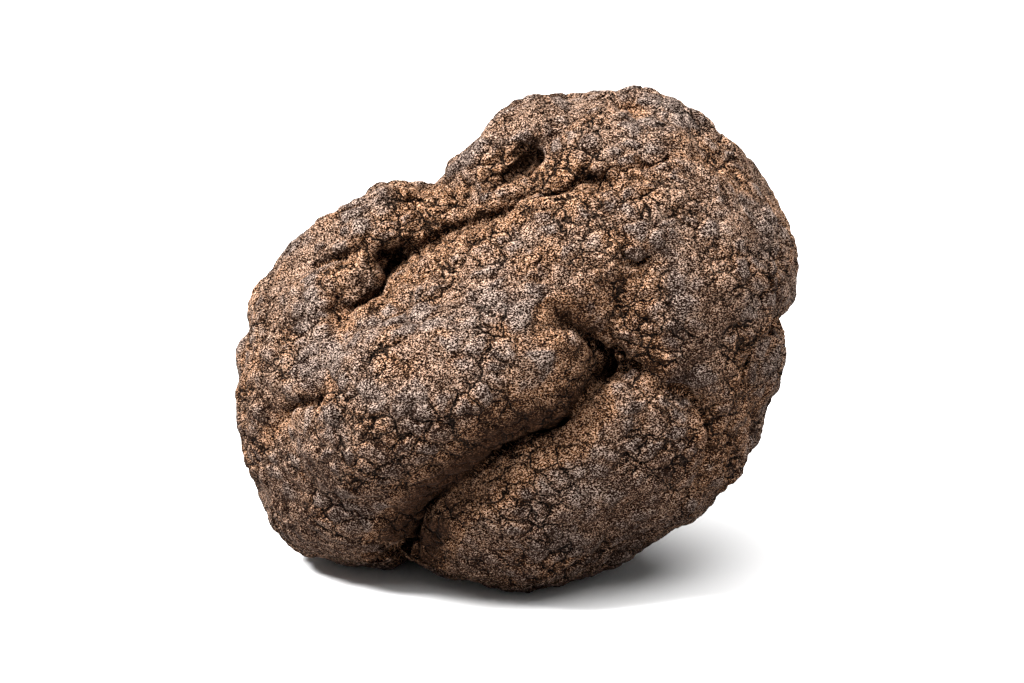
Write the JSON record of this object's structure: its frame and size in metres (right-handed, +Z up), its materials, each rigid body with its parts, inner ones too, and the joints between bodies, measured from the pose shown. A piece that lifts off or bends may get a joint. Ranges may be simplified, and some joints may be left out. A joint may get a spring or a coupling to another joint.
{
  "type": "black truffle",
  "caption": "Whole black truffle, a lumpy dark brown fruit body of merged lobes with deep folds, pits and a skin of low warts.",
  "frame": {"origin": "middle of the bounding box, at its bottom, where the truffle rests", "axes": "+Z up, +X along the longest side, -Y out of the face with the long seams"},
  "size_m": [0.065, 0.0534, 0.055],
  "materials": {
    "truffle_skin": "dry, matt, warty skin, grey-brown with tan dust in its folds"
  },
  "bodies": {
    "root": {"truffle": "truffle_skin"}
  },
  "joints": []
}
